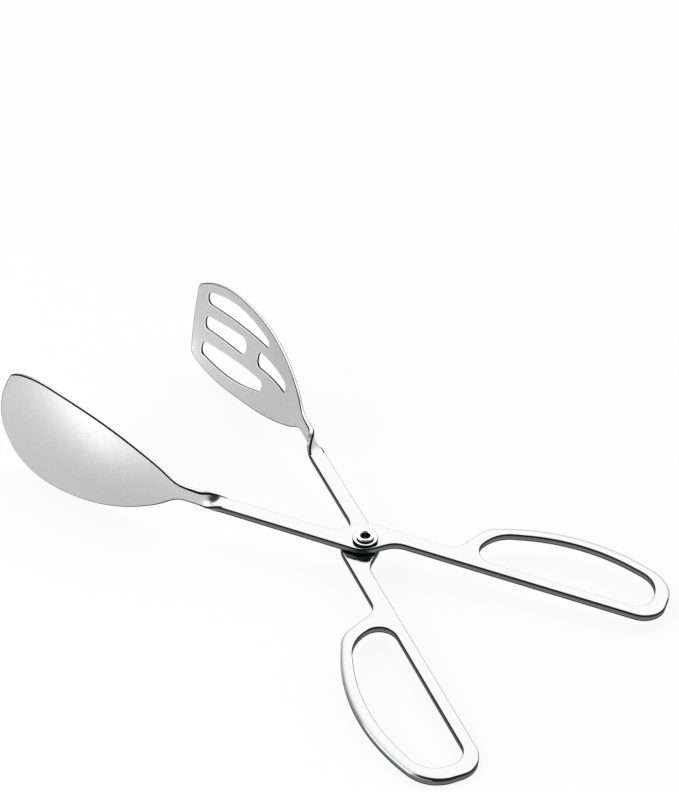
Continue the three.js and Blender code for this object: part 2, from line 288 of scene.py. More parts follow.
def smooth(value, start, end):
    share = np.clip((value - start) / (end - start), 0, 1)
    return share * share * (3 - 2 * share)


def spline(points, steps):
    """A Catmull-Rom spline through the points, which holds its ends."""
    padded = np.vstack([points[:1], points, points[-1:]])
    t = np.linspace(0, 1, steps, endpoint=False)[:, None]
    runs = []
    for p0, p1, p2, p3 in zip(padded, padded[1:], padded[2:], padded[3:]):
        v0 = (p2 - p0) / 2
        v1 = (p3 - p1) / 2
        cubic = (2 * p1 - 2 * p2 + v0 + v1) * t**3
        runs.append(cubic + (-3 * p1 + 3 * p2 - 2 * v0 - v1) * t**2 + v0 * t + p1)
    return np.vstack(runs + [points[-1:]])


bowl_edge = spline(outline_shares, spline_steps)


def half_width(s):
    share = (s - head_start) / head_length
    bowl = np.interp(share, bowl_edge[:, 0], bowl_edge[:, 1]) * head_width / 2
    root = outline_shares[0, 1] * head_width / 2
    neck = arm_width / 2 + (root - arm_width / 2) * smooth(s, twist_start, head_start)
    return np.where(share < 0, neck, bowl)


def head_outline():
    """Points from one side of the neck, round the tip, to the other side."""
    neck = np.arange(twist_start + neck_pitch, head_start, neck_pitch)
    bowl = head_start + bowl_edge[::outline_stride, 0] * head_length
    s = np.concatenate([neck, bowl])
    side = np.stack([s, -half_width(s)], axis=1)
    end = side[-1, 0]
    reach = -side[-1, 1]
    b = np.linspace(-reach, reach, round(2 * reach / bowl_pitch) + 1)[1:-1]
    tip = np.stack([end + head_crown * (1 - (b / reach) ** 2), b], axis=1)
    return list(side) + list(tip) + list((side * [1, -1])[::-1])


print("The bowl end has", len(head_outline()), "points round its edge")

# %% [markdown]
# ## The drain slots
# Four slots drain the bowl: two long ones beside the rim and two in the middle. They could be cut
# from the finished bowl with a Boolean, but they are cut in the blank, before the press, so their
# walls follow the bowl as real ones do. Places and rounds are shares of the bowl's size.

# %% Slots of the slotted bowl
side_slot_shares = [
    (0.482, 0.356, 0.115),
    (0.945, 0.405, 0.1),
    (0.945, 0.65, 0.135),
    (0.734, 0.865, 2.7),
    (0.48, 0.55, 0.09),
]
tip_slot_shares = [
    (0.653, -0.19, 0.165), (0.952, -0.135, 0.11), (0.952, 0.135, 0.11), (0.653, 0.19, 0.165),
]
neck_slot_shares = [
    (0.287, -0.105, 0.075), (0.563, -0.165, 0.12), (0.563, 0.165, 0.12), (0.287, 0.105, 0.075),
]


def slot_corners(shares, hand):
    half = head_width / 2
    return [
        (head_start + along * head_length, hand * across * half, radius * half)
        for along, across, radius in shares
    ]


print("The tip slot starts", round(slot_corners(tip_slot_shares, 1)[0][0], 1), "mm from the pivot")

# %% [markdown]
# ## Loops with the material on their left
# A blank is its outer edge and its holes. The outer edge runs anticlockwise and holes clockwise, so
# that for each of them the steel is on the left. A step to the left then always goes into the
# steel, which is all that rounding an edge needs. A Bevel modifier could round the edges too, but
# it knows one width, and these rounds change along the arm.

# %% Orient and step into the steel
bore_steps = 48
outer_edge = 0
finger_hole = 1
shortest_step = arc_pitch / 20


def area_of(loop):
    x, y = loop.T
    return (x * np.roll(y, -1) - np.roll(x, -1) * y).sum() / 2


def turned(points, anticlockwise):
    loop = np.array(points)
    keep = np.linalg.norm(loop - np.roll(loop, 1, axis=0), axis=1) > shortest_step
    loop = loop[keep]
    return loop if (area_of(loop) > 0) == anticlockwise else loop[::-1]


def leftward(loop):
    """Unit steps into the steel, one for each point, drawn out a little at a corner."""
    after = np.roll(loop, -1, axis=0) - loop
    after /= np.linalg.norm(after, axis=1)[:, None]
    before = np.roll(after, 1, axis=0)
    middle = after + before
    middle /= np.linalg.norm(middle, axis=1)[:, None]
    stretch = 1 / np.sqrt((1 + (after * before).sum(axis=1)) / 2)
    return np.stack([-middle[:, 1], middle[:, 0]], axis=1) * stretch[:, None]


def blank_loops(slots):
    """The outer edge, the finger hole, the bore of the boss, and then any slots."""
    outer = rounded(to_blank(arm_corners()), closed=False)[:-1] + head_outline()[:-1]
    hole = rounded(to_blank(hole_corners()))
    angles = np.linspace(0, 2 * math.pi, bore_steps, endpoint=False)
    circle = np.stack([np.cos(angles), np.sin(angles)], axis=1)
    bore = circle * (rivet_shank_radius + seat_gap) - [0, front_offset]
    cuts = [hole, list(bore)] + [rounded(slot_corners(*slot)) for slot in slots]
    return [turned(outer, True)] + [turned(cut, False) for cut in cuts]


print("A plain blank has", round(sum(area_of(loop) for loop in blank_loops([]))), "square mm")

# %% [markdown]
# ## The edge of the sheet
# Blanking leaves a wall, and coining and tumbling then round it: broad and soft above, tighter
# below, and broadest on the outer bulge of the finger loop, which lies in the hand. Towards the
# bowl both rounds become even. Each row of the profile is a ring of points round a loop.

# %% Profile of an edge
top_round_share = 0.19
top_drop_share = 0.17
bottom_round_share = 0.1
bowl_round_share = 0.3
soft_round_share = 0.8
soft_drop_share = 0.5
round_steps = 5
face_hold = 0.16


def softness(loop):
    """One along the outer bulge of the finger loop, nothing elsewhere."""
    outward = -front_offset - loop[:, 1]
    return smooth(outward, rear_edge, loop_bulge) * (loop[:, 0] < -loop_start)


def edge_profile(loop, is_outer):
    """Rows of (step into the steel, height, extra hold), the first two as shares of the sheet."""
    soft = softness(loop) * is_outer
    reach = top_round_share + (soft_round_share - top_round_share) * soft
    drop = top_drop_share + (soft_drop_share - top_drop_share) * soft
    past_neck = smooth(loop[:, 0], twist_start, twist_end)
    reach = reach + (bowl_round_share - reach) * past_neck
    drop = drop + (bowl_round_share - drop) * past_neck
    below = bottom_round_share + (bowl_round_share - bottom_round_share) * past_neck
    angles = np.linspace(0, math.pi / 2, round_steps + 1)
    top = [(reach * (1 - math.sin(a)), 0.5 - drop * (1 - math.cos(a)), 0) for a in angles]
    bottom = [(below * (1 - math.cos(a)), -0.5 + below * (1 - math.sin(a)), 0) for a in angles]
    first = (reach, 0.5, face_hold)
    last = (below, -0.5, face_hold)
    return [first] + top + bottom + [last]


def thickness(s):
    return sheet + (head_sheet - sheet) * smooth(s, thinning_start, thinning_end)


def edge_ring(loop, inward, row):
    """Points of one row of an edge, in three dimensions."""
    share, height, hold = row
    place = loop + inward * (share * thickness(loop[:, 0]) + hold)[:, None]
    return np.column_stack([place, height * thickness(place[:, 0])])


print("The arm's upper round is", round(top_round_share * sheet, 2), "mm wide")

# %% [markdown]
# ## The flat face
# The face of the blank is filled with triangles that keep to the loops. Blender's Fill gives long
# slivers, which would crease in the press. So a fine grid of points is laid in the neck and the
# bowl first, which lets the press bend them smoothly.

# %% Fill a face with triangles
grid_clearance = 0.6
fill_tolerance = 1e-7
triangles_inside = 1


def inside(points, loops):
    """Even-odd test of points against all loops at once."""
    hits = np.zeros(len(points), int)
    for loop in loops:
        for (ax, ay), (bx, by) in zip(loop, np.roll(loop, -1, axis=0)):
            spans = (ay > points[:, 1]) != (by > points[:, 1])
            if ay != by:
                crossing = ax + (points[:, 1] - ay) * (bx - ax) / (by - ay)
                hits += spans & (points[:, 0] < crossing)
    return hits % 2 == 1


def grid_inside(loops):
    """Grid points in neck and bowl that keep their distance from every loop."""
    half = head_width / 2
    edges = np.vstack(loops)
    neck = (twist_start, head_start, neck_pitch)
    bowl = (head_start, head_end + head_crown, bowl_pitch)
    kept = []
    for start, end, pitch in (neck, bowl):
        grid = np.meshgrid(np.arange(start, end, pitch), np.arange(-half, half, pitch))
        points = np.stack(grid, axis=-1).reshape(-1, 2)
        points = points[inside(points, loops)]
        near = np.array([np.hypot(*(edges - point).T).min() for point in points])
        kept.append(points[near > grid_clearance * pitch])
    return np.vstack(kept)


def face_triangles(loops):
    """Points of the face, those of the loops first, and its triangles."""
    points = np.vstack(loops + [grid_inside(loops)])
    edges = []
    start = 0
    for loop in loops:
        count = len(loop)
        edges += [(start + i, start + (i + 1) % count) for i in range(count)]
        start += count
    corners = [Vector(point) for point in points]
    found = delaunay_2d_cdt(corners, edges, [], triangles_inside, fill_tolerance)
    assert len(found[0]) == len(points), "the fill moved or merged points"
    triangles = np.array(found[2])
    return points, triangles[inside(points[triangles].mean(axis=1), loops)]


print("Grid of", neck_pitch, "mm in the neck and", bowl_pitch, "mm in the bowl")

# %% [markdown]
# ## Marks for the press, the finish and the painted shade
# Each point carries how far the press will push it: nothing at the rim, everything along the
# middle. It also says how deep in the edge it lies, and faces of a wall carry a mark, so that both
# can get the finish of a blanked edge later, and the bands of painted shade laid along that depth.

# %% Marks on points and faces
# small_cut_rim sets where the painted shade inside bore and slots gives way to brighter rims.
small_cut_rim = 0.4


def edge_depth(k, height, count):
    """From 0 above to 1 below. In bore and slots 0 halfway, and small_cut_rim at both rims."""
    sunk = 0.5 - np.broadcast_to(height, count)
    return sunk if k <= finger_hole else small_cut_rim * abs(2 * sunk - 1)


def is_wall(k, loop, row, last_row):
    """Which faces of a row are wall. Past the neck it starts at the rim, and before it lower."""
    is_outer = k == outer_edge
    coined = np.floor(softness(loop) * is_outer * (round_steps - round_steps // 2) + 0.5)
    rim_row = -1 if is_outer else 0
    first_row = np.where(loop[:, 0] > twist_start, rim_row, round_steps // 2 + coined)
    return ((row > first_row) & (row < last_row)).tolist()


def marked_mesh(name, points, depth, faces, walls):
    mesh = bpy.data.meshes.new(name)
    mesh.from_pydata((points * mm).tolist(), [], [tuple(int(i) for i in face) for face in faces])
    across = points[:, 1] / half_width(np.minimum(points[:, 0], head_end))
    marks = {
        "press_share": np.clip(1 - across**2, 0, 1) * (points[:, 0] > head_start),
        "past_neck": smooth(points[:, 0], twist_start, twist_end),
        "wall_depth": depth,
    }
    for mark, values in marks.items():
        mesh.attributes.new(mark, "FLOAT", "POINT").data.foreach_set("value", values)
    mesh.attributes.new("blanked_wall", "BOOLEAN", "FACE").data.foreach_set("value", walls)
    mesh.shade_smooth()
    print(name, "starts as a blank of", len(mesh.vertices), "points")
    return mesh


# %% [markdown]
# ## The blank as a mesh
# The face is copied for the underside, and the rings of each edge join the two. A Solidify modifier
# could thicken a face, but not to a sheet that thins.


# %% Build the solid blank
def blank_mesh(name, slots):
    loops = blank_loops(slots)
    profiles = [edge_profile(loop, k == outer_edge) for k, loop in enumerate(loops)]
    rings = [
        [edge_ring(loop, leftward(loop), row) for row in profile]
        for loop, profile in zip(loops, profiles)
    ]
    face, triangles = face_triangles([ring[0][:, :2] for ring in rings])
    half = thickness(face[:, 0]) / 2
    lower_rims = np.vstack([ring[-1] for ring in rings])
    bottom = np.column_stack([face, -half])
    bottom[: len(lower_rims)] = lower_rims
    points = [np.column_stack([face, half]), bottom]
    depth = [np.zeros(len(face)), np.ones(len(face))]
    faces = [tuple(t) for t in triangles] + [tuple(t[::-1] + len(face)) for t in triangles]
    walls = [False] * len(faces)
    base = 2 * len(face)
    start = 0
    for k, loop in enumerate(loops):
        around = np.arange(len(loop))
        rows = [around + start]
        for ring, row in zip(rings[k][1:-1], profiles[k][1:-1]):
            points.append(ring)
            depth.append(edge_depth(k, row[1], len(loop)))
            rows.append(around + base)
            base += len(loop)
        rows.append(around + start + len(face))
        for row, (above, below) in enumerate(zip(rows, rows[1:])):
            faces += zip(above, below, np.roll(below, -1), np.roll(above, -1))
            walls += is_wall(k, loop, row, len(rows) - 2)
        start += len(loop)
    return marked_mesh(name, np.vstack(points), np.concatenate(depth), faces, walls)


# %% [markdown]
# ## One small function for nodes
# Geometry and material trees are both made of nodes with settings and links, so one helper serves
# every tree in this notebook. An input can be a value, a socket, or a whole node, which then stands
# for the first output that it has in use.


# %% Add a node
def linear(hex_colour):
    """An sRGB hex colour as linear RGBA."""
    values = [int(hex_colour[i : i + 2], 16) / 255 for i in (1, 3, 5)]
    return [v / 12.92 if v <= 0.04045 else ((v + 0.055) / 1.055) ** 2.4 for v in values] + [1]


def add_node(tree, kind, inputs=None, stops=None, **settings):
    """A node with its settings and links. The stops of a colour ramp are (place, hex)."""
    node = tree.nodes.new(kind)
    for key, value in settings.items():
        setattr(node, key, value)
    for key, value in (inputs or {}).items():
        if isinstance(value, bpy.types.Node):
            value = next(socket for socket in value.outputs if socket.enabled)
        if isinstance(value, bpy.types.NodeSocket):
            tree.links.new(value, node.inputs[key])
        else:
            node.inputs[key].default_value = value
    if stops:
        ramp = node.color_ramp.elements
        ramp.remove(ramp[1])
        ramp[0].position, ramp[0].color = stops[0][0], linear(stops[0][1])
        for place, shade in stops[1:]:
            ramp.new(place).color = linear(shade)
    return node


print("Middle grey #808080 is", round(linear("#808080")[0], 3), "in linear light")

# %% [markdown]
# ## Stainless steel
# All pieces are 18/8 stainless steel: a metal with the default IOR and hardly a colour. None is
# perfectly even. The press tool leaves waves of some 9 mm, and tumbling with stones leaves a fine
# grain. Real grain of a tenth of a millimetre is too fine to show, so it is drawn at half a
# millimetre. Both are bumps, from noise on Object coordinates, so that they stay on the piece.

# %% Waves and grain of the steel
wave_size = 9 * mm
grain_size = 0.5 * mm


def steel_base(name, wave_depth, grain_depth):
    """A metal with a wavy, grained surface. Gives its material, tree, shader and grain."""
    material = bpy.data.materials.new(name)
    material.use_nodes = True
    tree = material.node_tree
    shader = tree.nodes["Principled BSDF"]
    shader.inputs["Metallic"].default_value = 1
    place = add_node(tree, "ShaderNodeTexCoord").outputs["Object"]
    bump = {}
    for size, detail, depth in ((wave_size, 2.0, wave_depth), (grain_size, 4.0, grain_depth)):
        inputs = {"Vector": place, "Scale": 1 / size, "Detail": detail}
        noise = add_node(tree, "ShaderNodeTexNoise", inputs).outputs["Fac"]
        bump.update({"Height": noise, "Distance": depth})
        bump["Normal"] = add_node(tree, "ShaderNodeBump", bump).outputs["Normal"]
    tree.links.new(bump["Normal"], shader.inputs["Normal"])
    return material, tree, shader, noise


def change_past_neck(tree, shader, arm_colour, bowl_colour, arm_roughness, bowl_roughness):
    """Goes from the finish of the arm to that of the bowl over the twist of the neck."""
    past_neck = add_node(tree, "ShaderNodeAttribute", attribute_name="past_neck").outputs["Fac"]
    colours = {"Factor": past_neck, "A": arm_colour, "B": bowl_colour}
    colour = add_node(tree, "ShaderNodeMix", colours, data_type="RGBA")
    limits = {"Value": past_neck, "To Min": arm_roughness, "To Max": bowl_roughness}
    rough = add_node(tree, "ShaderNodeMapRange", limits)
    tree.links.new(colour.outputs["Result"], shader.inputs["Base Color"])
    tree.links.new(rough.outputs["Result"], shader.inputs["Roughness"])


print("Waves of", round(wave_size / mm, 1), "mm and grain of", round(grain_size / mm, 1), "mm")

# %% [markdown]
# ## The face of the sheet
# The arms were tumbled bright, so they mirror a room in clear but soft shapes: roughness 0.1. The
# bowls were brushed after the press and are satin: roughness 0.46, with a fleck of two greys. Two
# materials would need a border, so one changes over the twist, by the past_neck attribute. Painted
# shade darkens the rounds of the arms towards the wall, most of all the coined round of a finger
# loop. The bands follow the wall_depth attribute, and the last is the underside, as bright as the
# top.

# %% Tumbled stainless sheet
sheet_roughness = 0.1
satin_roughness = 0.46
fleck_low = 0.35
fleck_high = 0.65
satin_dark = "#c2c2c2"
satin_light = "#cecece"
# Painted shade: these greys darken the rounds of the arms towards the wall, deepest on a coined
# round.
painted_round_shade = [
    (0, "#d4d4d4"), (0.1, "#c4c4c4"), (0.3, "#949597"), (0.5, "#545658"), (0.8, "#d4d4d4"),
]


# To the eye: a soft mirror on the arms, and an even pale sheen in the bowls.
def sheet_steel():
    material, tree, shader, grain = steel_base(
        "tumbled_sheet_with_painted_shade", wave_depth=0.05 * mm, grain_depth=0.004 * mm
    )
    depth = add_node(tree, "ShaderNodeAttribute", attribute_name="wall_depth").outputs["Fac"]
    limits = {"Value": grain, "From Min": fleck_low, "From Max": fleck_high}
    fleck = add_node(tree, "ShaderNodeMapRange", limits)
    greys = {"Factor": fleck, "A": linear(satin_dark), "B": linear(satin_light)}
    satin = add_node(tree, "ShaderNodeMix", greys, data_type="RGBA")
    # The arm colour, with painted shade on its rounds.
    arm_face_painted_shade = add_node(tree, "ShaderNodeValToRGB", {"Fac": depth}, stops=painted_round_shade)
    change_past_neck(tree, shader, arm_face_painted_shade, satin, sheet_roughness, satin_roughness)
    return material


tumbled_sheet_and_painted_shade = sheet_steel()
print("Made", tumbled_sheet_and_painted_shade.name)

# %% [markdown]
# ## The wall of a blanked edge
# A punch shears the sheet, and its wall is duller and rougher than the face. Most of its darkness
# is painted, though. On the arms a near-black band at the top rim is a painted dark reflection, one
# at the bottom rim is painted shade, and the grey band between is darkened too, as painted shade.
# Past the neck the outer edge has near-black rims, painted dark reflection and shade, round a
# bright polished middle. The bore and the slots are painted near black in the middle, as shade,
# with brighter rims. Bands could be cut into the mesh, but colours need no extra geometry.

# %% Blanked stainless edge, with painted shade
arm_wall_roughness = 0.3
bowl_wall_roughness = 0.15
edge_tint = "#b0b0b0"
# Painted shade: a dark reflection at the top rim, shade at the foot, and a darkened grey between.
arm_edge_painted_shade = [
    (0, "#1c1d1e"), (0.24, "#2c2d2e"), (0.34, "#66686a"),
    (0.7, "#787a7c"), (0.8, "#303132"), (1, "#1c1d1e"),
]
# Painted shade: near-black rims on the bowl's edge and near-black middles in the slots.
bowl_edge_painted_shade = [
    (0, "#0e0e0e"), (0.2, "#0e0e0e"), (0.27, "#e0e0e0"),
    (0.81, "#e0e0e0"), (0.89, "#0e0e0e"), (1, "#0e0e0e"),
]


# To the eye: the painted dark line that draws the shape of each arm, loop and slot.
def edge_steel():
    material, tree, shader, _ = steel_base(
        "blanked_edge_with_painted_shade", wave_depth=0.03 * mm, grain_depth=0.012 * mm
    )
    depth = add_node(tree, "ShaderNodeAttribute", attribute_name="wall_depth").outputs["Fac"]
    arm = add_node(tree, "ShaderNodeValToRGB", {"Fac": depth}, stops=arm_edge_painted_shade)
    bowl = add_node(tree, "ShaderNodeValToRGB", {"Fac": depth}, stops=bowl_edge_painted_shade)
    change_past_neck(tree, shader, arm, bowl, arm_wall_roughness, bowl_wall_roughness)
    shader.inputs["Specular Tint"].default_value = linear(edge_tint)
    return material


blanked_edge_and_painted_shade = edge_steel()
print("Made", blanked_edge_and_painted_shade.name)

# %% [markdown]
# ## The steel of rivet and washer
# A rivet is headed cold in a polished die, and a washer is barrelled. Both come out brighter and
# smoother than the sheet, so the colour is lighter and the roughness low.

# %% Formed rivet steel
rivet_colour = "#e2e2e2"
rivet_roughness = 0.14


# To the eye: small hard highlights round the rolled rim and the washer.
def rivet_steel():
    depths = {"wave_depth": 0.01 * mm, "grain_depth": 0.003 * mm}
    material, _, shader, _ = steel_base("formed_rivet_steel", **depths)
    shader.inputs["Base Color"].default_value = linear(rivet_colour)
    shader.inputs["Roughness"].default_value = rivet_roughness
    return material


formed_steel = rivet_steel()
print("Made", formed_steel.name)

# %% [markdown]
# ## The press, as Geometry Nodes
# A press tool is a rule: each point of the flat sheet goes to one place of the finished piece. The
# tree takes the blank, twists the neck, bends the bowl along a large circle and pushes its middle
# outwards. Simple Deform modifiers could do some of it. Here all sizes are named inputs, so the
# spoon and the slotted blade share one tool.

# %% Sockets of the press
PRESS_INPUTS = [
    "Twist start", "Twist end", "Twist angle", "Bowl start", "Deepest place", "Bowl end",
    "Bend start", "Bend radius", "Neck offset", "Bowl offset", "Neck height", "Bowl height",
    "Dish", "Tip dish", "Side",
]
PRESS_CHANGES = {
    "twist": ("Twist start", "Twist end", 0.0, "Twist angle"),
    "offset": ("Twist start", "Twist end", "Neck offset", "Bowl offset"),
    "height": ("Twist start", "Twist end", "Neck height", "Bowl height"),
    "rise": ("Bowl start", "Deepest place", 0.0, 1.0),
    "dish": ("Deepest place", "Bowl end", "Dish", "Tip dish"),
}


def press_sockets(tree):
    tree.interface.new_socket("Blank", in_out="INPUT", socket_type="NodeSocketGeometry")
    for name in PRESS_INPUTS:
        tree.interface.new_socket(name, in_out="INPUT", socket_type="NodeSocketFloat")
    # The face material paints shade along the rounds, and the wall material along the walls.
    for name in ["Face material with painted shade", "Wall material with painted shade"]:
        tree.interface.new_socket(name, in_out="INPUT", socket_type="NodeSocketMaterial")
    tree.interface.new_socket("Arm", in_out="OUTPUT", socket_type="NodeSocketGeometry")


def smooth_changes(tree, given, s):
    """What changes smoothly along the blank: where it starts and ends, from what, to what."""
    changes = {}
    for name, limits in PRESS_CHANGES.items():
        values = [given[limit] if isinstance(limit, str) else limit for limit in limits]
        inputs = dict(zip(["From Min", "From Max", "To Min", "To Max"], values), Value=s)
        how = {"interpolation_type": "SMOOTHSTEP"}
        changes[name] = add_node(tree, "ShaderNodeMapRange", inputs, **how)
    return changes


print("The press takes", len(PRESS_INPUTS), "sizes")

# %% [markdown]
# ## The sums of the press
# A point is s along the blank, b across it and d above its middle. Its line runs straight as far as
# the bowl and then round a circle, and the dish lifts the point off that line. Each row below is
# one Math node: what it gives, what it does, and the two things that it takes. Nodes could be added
# one by one, but a table reads like the sums beside a drawing.

# %% Sums of the press
PRESS_SUMS = [
    ("past bend start", "SUBTRACT", "s", "Bend start"),
    ("bent length", "MAXIMUM", "past bend start", 0.0),
    ("turn", "DIVIDE", "bent length", "Bend radius"),
    ("sine", "SINE", "turn", 0.0),
    ("cosine", "COSINE", "turn", 0.0),
    ("fall", "SUBTRACT", 1.0, "cosine"),
    ("straight length", "MINIMUM", "s", "Bend start"),
    ("reach", "MULTIPLY", "Bend radius", "sine"),
    ("sag", "MULTIPLY", "Bend radius", "fall"),
    ("line x", "ADD", "straight length", "reach"),
    ("line y", "SUBTRACT", "offset", "sag"),
    ("deepest", "MULTIPLY", "rise", "dish"),
    ("push", "MULTIPLY", "deepest", "press share"),
    ("lift", "ADD", "d", "push"),
]


def with_sums(tree, known):
    """Adds the result of each row to what is known so far."""
    for name, operation, first, second in PRESS_SUMS:
        inputs = {0: known.get(first, first), 1: known.get(second, second)}
        known[name] = add_node(tree, "ShaderNodeMath", inputs, operation=operation)
    return known


print("The press does", len(PRESS_SUMS), "sums for each point")

# %% [markdown]
# ## Twist and bend
# What lies across the line is turned twice: by the twist of the neck about its length, and by the
# bend about the upright. Put on the line, it gives the point's new place, and a side of minus one
# mirrors it for the other hand.


# %% Build the press
def pressed_place(tree, given):
    """The place to which the press takes each point of the blank."""
    position = add_node(tree, "GeometryNodeInputPosition")
    s, b, d = add_node(tree, "ShaderNodeSeparateXYZ", {0: position}).outputs
    push = {"Name": "press_share"}
    share = add_node(tree, "GeometryNodeInputNamedAttribute", push, data_type="FLOAT")
    known = {name: given[name] for name in PRESS_INPUTS}
    known.update({"s": s, "d": d, "press share": share}, **smooth_changes(tree, given, s))
    known = with_sums(tree, known)
    places = {"X": known["line x"], "Y": known["line y"], "Z": known["height"]}
    line = add_node(tree, "ShaderNodeCombineXYZ", places)
    section = add_node(tree, "ShaderNodeCombineXYZ", {"Y": b, "Z": known["lift"]})
    for axis, angle in (("X_AXIS", known["twist"]), ("Z_AXIS", known["turn"])):
        inputs = {"Vector": section, "Angle": angle}
        how = {"rotation_type": axis, "invert": True}
        section = add_node(tree, "ShaderNodeVectorRotate", inputs, **how)
    formed = add_node(tree, "ShaderNodeVectorMath", {0: line, 1: section}, operation="ADD")
    side = add_node(tree, "ShaderNodeCombineXYZ", {"X": 1.0, "Y": given["Side"], "Z": 1.0})
    return add_node(tree, "ShaderNodeVectorMath", {0: formed, 1: side}, operation="MULTIPLY")


def press_tree():
    tree = bpy.data.node_groups.new("twist_and_press", "GeometryNodeTree")
    press_sockets(tree)
    given = add_node(tree, "NodeGroupInput").outputs
    moves = {"Geometry": given["Blank"], "Position": pressed_place(tree, given)}
    moved = add_node(tree, "GeometryNodeSetPosition", moves)
    whole = add_node(tree, "GeometryNodeRealizeInstances", {"Geometry": moved})
    wall = add_node(
        tree, "GeometryNodeInputNamedAttribute", {"Name": "blanked_wall"}, data_type="BOOLEAN"
    )
    face_material_inputs = {"Geometry": whole, "Material": given["Face material with painted shade"]}
    faced = add_node(tree, "GeometryNodeSetMaterial", face_material_inputs)
    wall_material_inputs = {"Geometry": faced, "Selection": wall, "Material": given["Wall material with painted shade"]}
    edged = add_node(tree, "GeometryNodeSetMaterial", wall_material_inputs)
    add_node(tree, "NodeGroupOutput", {"Arm": edged})
    return tree


press = press_tree()
print("The press has", len(press.nodes), "nodes")

# %% [markdown]
# ## Setting the press
# One tool forms both arms, so a setting that differs is all that tells them apart: how far the bowl
# leans, whether the arm lies above or below, and to which side it goes.


# %% Settings for an arm
def press_settings(lean, middle, side):
    return {
        "Twist start": twist_start * mm,
        "Twist end": twist_end * mm,
        "Twist angle": math.pi / 2 + lean,
        "Bowl start": head_start * mm,
        "Deepest place": (head_start + full_dish_share * head_length) * mm,
        "Bowl end": head_end * mm,
        "Bend start": head_bend_start * mm,
        "Bend radius": head_bend_radius * mm,
        "Neck offset": front_offset * mm,
        "Bowl offset": head_offset * mm,
        "Neck height": middle * mm,
        "Bowl height": (head_width / 2 * math.cos(lean) - head_drop) * mm,
        "Dish": full_dish * mm,
        "Tip dish": tip_dish * mm,
        "Side": float(side),
        "Face material with painted shade": tumbled_sheet_and_painted_shade,
        "Wall material with painted shade": blanked_edge_and_painted_shade,
    }


# %% [markdown]
# ## Forming an arm
# The blank goes through the press, and what comes out is made a plain mesh. Then it is turned to
# its opening angle and carried to the table. The lower arm is pressed on the other hand, which
# turns its faces inside out, so their directions are worked out again.

# %% Form an arm
weld_distance = 1e-7


def in_scene(name, data):
    """A new object at the origin."""
    thing = bpy.data.objects.new(name, data)
    bpy.context.scene.collection.objects.link(thing)
    return thing


def applied(thing, name):
    """The evaluated object as a plain mesh object, with the modifiers gone."""
    formed = thing.evaluated_get(bpy.context.evaluated_depsgraph_get())
    mesh = bpy.data.meshes.new_from_object(formed)
    bpy.data.objects.remove(thing)
    mesh.name = name
    return in_scene(name, mesh)


def turn_faces_out(mesh):
    """Merges any doubles and turns all faces outwards."""
    work = bmesh.new()
    work.from_mesh(mesh)
    bmesh.ops.remove_doubles(work, verts=work.verts, dist=weld_distance)
    bmesh.ops.recalc_face_normals(work, faces=work.faces)
    work.to_mesh(mesh)
    work.free()
    mesh.shade_smooth()


def formed_arm(name, slots, lean, middle, side):
    blank = in_scene(name + "_blank", blank_mesh(name, slots))
    modifier = blank.modifiers.new("press", "NODES")
    modifier.node_group = press
    settings = press_settings(lean, middle, side)
    for item in press.interface.items_tree:
        if item.in_out == "INPUT" and item.name in settings:
            modifier[item.identifier] = settings[item.name]
    arm = applied(blank, name)
    arm.data.transform(pivot_frame @ Matrix.Rotation(side * open_half_angle, 4, "Z"))
    turn_faces_out(arm.data)
    print(name, "has", len(arm.data.polygons), "faces")
    return arm


# %% [markdown]
# ## Both arms
# The spoon arm lies above and the slotted arm below. Each takes the place of its plain solid, and
# rides on its own half of the joint.


# %% Form and hand over both arms
def hand_over(piece, node, body):
    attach(piece, body)
    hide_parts(node)


slots = [
    (side_slot_shares, 1), (side_slot_shares, -1), (tip_slot_shares, 1), (neck_slot_shares, 1),
]
upper = formed_arm("spoon_arm_formed", [], spoon_lean, upper_middle, 1)
lower = formed_arm("slotted_arm_formed", slots, slotted_lean, lower_middle, -1)
hand_over(upper, "spoon_arm", "spoon_half")
hand_over(lower, "slotted_arm", "slotted_half")

# %% [markdown]
# ## The rivet and its washer
# The rivet is a tube that was closed over the washer: a formed head below, a shank through both
# bosses, and an end that was rolled outwards over the washer. Heights are measured from the plane
# between the two arms, and each piece keeps a small gap to its neighbour.

# %% Sizes of rivet and washer
rivet_bore_radius = 1.8
rivet_bore_floor = -2.4
rivet_head_radius = 4.7
rivet_head_height = 1.4
rivet_head_edge = 0.5
rolled_rim_radius = 3.2
rolled_rim_height = 0.8
rim_shade_height = 0.45
washer_radius = 4.6
washer_height = 0.8
washer_edge = 0.2
bore_radius = rivet_shank_radius + seat_gap
upper_top = arm_gap / 2 + sheet
washer_bottom = upper_top + seat_gap
washer_top = washer_bottom + washer_height
rim_bottom = washer_top + seat_gap
head_top = -upper_top - seat_gap
head_bottom = head_top - rivet_head_height
print("The rivet is", round(rim_bottom + rolled_rim_height - head_bottom, 2), "mm long")

# %% [markdown]
# ## Turning a profile
# Both pieces are round. Cylinders with bevels could stand for them, but a rolled rim is no
# cylinder, so a profile is turned about the pivot axis, as a lathe works. Each of its points makes
# a ring, and one on the axis a pole. Blender's Spin needs its seam merged, which leaves the faces
# in an order that changes from run to run, so the rings are joined here.

# %% Turn a profile
quarter_steps = 6
rim_points = 25
lathe_steps = 96


def quarter(centre, radius, start):
    """Points of a quarter circle from an angle on, anticlockwise."""
    angles = start + np.linspace(0, math.pi / 2, quarter_steps + 1)
    return [(centre[0] + radius * math.cos(a), centre[1] + radius * math.sin(a)) for a in angles]


